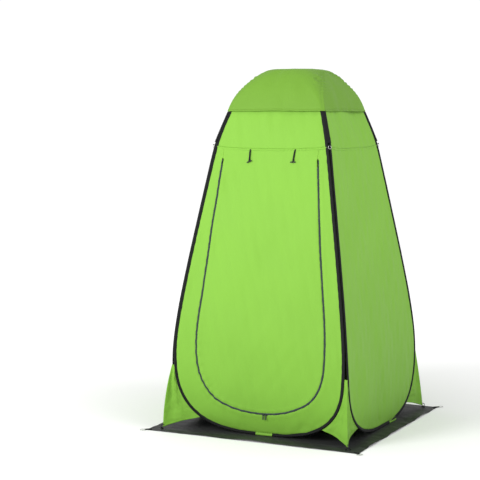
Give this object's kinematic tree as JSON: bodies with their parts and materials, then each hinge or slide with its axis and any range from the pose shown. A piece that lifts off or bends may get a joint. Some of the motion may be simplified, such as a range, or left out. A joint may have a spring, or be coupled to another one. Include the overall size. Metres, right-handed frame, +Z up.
{
  "type": "privacy shower tent",
  "caption": "Upright pop-up privacy shower tent with sprung hoops, a U-zip door, a lift-off rain cap over a mesh roof, corner gussets and a detachable groundsheet.",
  "frame": {"origin": "middle of the groundsheet's underside, on the ground", "axes": "+Z up, -Y toward the door, +X to the right of someone facing the door"},
  "size_m": [1.2602, 1.2402, 1.89],
  "materials": {
    "wall_cloth": "smooth coated polyester",
    "cap_cloth": "smooth coated polyester",
    "mesh": "open mesh",
    "binding": "woven tape",
    "webbing": "woven webbing",
    "spring_steel": "drawn wire",
    "zip_tape": "coil zip tape",
    "slider_metal": "satin black",
    "black_plastic": "moulded",
    "ring_steel": "plated wire",
    "groundsheet_cloth": "coated polyester"
  },
  "bodies": {
    "groundsheet": {"ground_sheet": "groundsheet_cloth", "sheet_tabs": "webbing", "hook_bars": "webbing"},
    "tent": {"wall_front": "wall_cloth", "band_front": "wall_cloth", "hoop_sleeve_front": "binding", "hoop_wire_front": "spring_steel", "wall_right": "wall_cloth", "band_right": "wall_cloth", "hoop_sleeve_right": "binding", "hoop_wire_right": "spring_steel", "wall_back": "wall_cloth", "band_back": "wall_cloth", "hoop_sleeve_back": "binding", "hoop_wire_back": "spring_steel", "wall_left": "wall_cloth", "band_left": "wall_cloth", "hoop_sleeve_left": "binding", "hoop_wire_left": "spring_steel", "gusset_fr": "wall_cloth", "gusset_br": "wall_cloth", "gusset_bl": "wall_cloth", "gusset_fl": "wall_cloth", "hoop_ferrules": "spring_steel", "sleeve_patches": "wall_cloth", "zip_tape_wall": "zip_tape", "gusset_hooks": "black_plastic", "guy_tabs": "webbing", "roof_mesh": "mesh"},
    "door": {"door_panel": "wall_cloth", "zip_tape_door": "zip_tape"},
    "slider_left": {"zip_slider_left": "slider_metal"},
    "pull_left": {"zip_pull_left": "slider_metal"},
    "slider_right": {"zip_slider_right": "slider_metal"},
    "pull_right": {"zip_pull_right": "slider_metal"},
    "tie_left": {"tie_strap_left": "webbing", "tie_toggle_left": "black_plastic"},
    "tie_right": {"tie_strap_right": "webbing", "tie_toggle_right": "black_plastic"},
    "cap": {"rain_cap": "cap_cloth"},
    "strap_fr": {"cap_strap_fr": "webbing", "strap_tab_fr": "webbing"},
    "strap_br": {"cap_strap_br": "webbing", "strap_tab_br": "webbing"},
    "strap_bl": {"cap_strap_bl": "webbing", "strap_tab_bl": "webbing"},
    "strap_fl": {"cap_strap_fl": "webbing", "strap_tab_fl": "webbing"},
    "guy_fr": {"guy_ring_fr": "ring_steel"},
    "guy_br": {"guy_ring_br": "ring_steel"},
    "guy_bl": {"guy_ring_bl": "ring_steel"},
    "guy_fl": {"guy_ring_fl": "ring_steel"},
    "peg_fr": {"sheet_ring_fr": "ring_steel"},
    "peg_br": {"sheet_ring_br": "ring_steel"},
    "peg_bl": {"sheet_ring_bl": "ring_steel"},
    "peg_fl": {"sheet_ring_fl": "ring_steel"}
  },
  "joints": [
    {"name": "tent_lift", "type": "slide", "parent": "groundsheet", "child": "tent", "axis": [0, 0, 1], "range_m": [0, 0.3]},
    {"name": "door_swing", "type": "hinge", "parent": "tent", "child": "door", "pos_m": [0, -0.34666, 1.39], "axis": [-1, 0, 0], "range_deg": [0, 80]},
    {"name": "slider_left_run", "type": "hinge", "parent": "tent", "child": "slider_left", "pos_m": [0, -0.57123, 0.70015], "axis": [0, 0.985, 0.1725], "range_deg": [0, 14]},
    {"name": "pull_left_swing", "type": "hinge", "parent": "slider_left", "child": "pull_left", "pos_m": [0.02416, -0.47273, 0.11384], "axis": [-1, 0, 0], "range_deg": [0, 150]},
    {"name": "slider_right_run", "type": "hinge", "parent": "tent", "child": "slider_right", "pos_m": [0, -0.57123, 0.70015], "axis": [0, -0.985, -0.1725], "range_deg": [0, 7.9]},
    {"name": "pull_right_swing", "type": "hinge", "parent": "slider_right", "child": "pull_right", "pos_m": [0.03926, -0.47287, 0.11463], "axis": [-1, 0, 0], "range_deg": [0, 150]},
    {"name": "tie_left_swing", "type": "hinge", "parent": "tent", "child": "tie_left", "pos_m": [-0.124, -0.33258, 1.473], "axis": [-1, 0, 0], "range_deg": [0, 100]},
    {"name": "tie_right_swing", "type": "hinge", "parent": "tent", "child": "tie_right", "pos_m": [0.135, -0.33258, 1.473], "axis": [-1, 0, 0], "range_deg": [0, 100]},
    {"name": "cap_lift", "type": "slide", "parent": "tent", "child": "cap", "axis": [0, 0, 1], "range_m": [0, 0.3]},
    {"name": "strap_fr_swing", "type": "hinge", "parent": "cap", "child": "strap_fr", "pos_m": [0.27612, -0.27612, 1.666], "axis": [-0.7071, -0.7071, 0], "range_deg": [0, 90]},
    {"name": "strap_br_swing", "type": "hinge", "parent": "cap", "child": "strap_br", "pos_m": [0.27612, 0.27612, 1.666], "axis": [0.7071, -0.7071, 0], "range_deg": [0, 90]},
    {"name": "strap_bl_swing", "type": "hinge", "parent": "cap", "child": "strap_bl", "pos_m": [-0.27612, 0.27612, 1.666], "axis": [0.7071, 0.7071, 0], "range_deg": [0, 90]},
    {"name": "strap_fl_swing", "type": "hinge", "parent": "cap", "child": "strap_fl", "pos_m": [-0.27612, -0.27612, 1.666], "axis": [-0.7071, 0.7071, 0], "range_deg": [0, 90]},
    {"name": "guy_fr_swing", "type": "hinge", "parent": "tent", "child": "guy_fr", "pos_m": [0.33182, -0.33182, 1.494], "axis": [-0.7071, -0.7071, 0], "range_deg": [0, 110]},
    {"name": "guy_br_swing", "type": "hinge", "parent": "tent", "child": "guy_br", "pos_m": [0.33182, 0.33182, 1.494], "axis": [0.7071, -0.7071, 0], "range_deg": [0, 110]},
    {"name": "guy_bl_swing", "type": "hinge", "parent": "tent", "child": "guy_bl", "pos_m": [-0.33182, 0.33182, 1.494], "axis": [0.7071, 0.7071, 0], "range_deg": [0, 110]},
    {"name": "guy_fl_swing", "type": "hinge", "parent": "tent", "child": "guy_fl", "pos_m": [-0.33182, -0.33182, 1.494], "axis": [-0.7071, 0.7071, 0], "range_deg": [0, 110]},
    {"name": "peg_fr_swing", "type": "hinge", "parent": "groundsheet", "child": "peg_fr", "pos_m": [0.60554, -0.59554, 0.00309], "axis": [-0.7071, -0.7071, 0], "range_deg": [0, 160]},
    {"name": "peg_br_swing", "type": "hinge", "parent": "groundsheet", "child": "peg_br", "pos_m": [0.60554, 0.59554, 0.00309], "axis": [0.7071, -0.7071, 0], "range_deg": [0, 160]},
    {"name": "peg_bl_swing", "type": "hinge", "parent": "groundsheet", "child": "peg_bl", "pos_m": [-0.60554, 0.59554, 0.00309], "axis": [0.7071, 0.7071, 0], "range_deg": [0, 160]},
    {"name": "peg_fl_swing", "type": "hinge", "parent": "groundsheet", "child": "peg_fl", "pos_m": [-0.60554, -0.59554, 0.00309], "axis": [-0.7071, 0.7071, 0], "range_deg": [0, 160]}
  ]
}
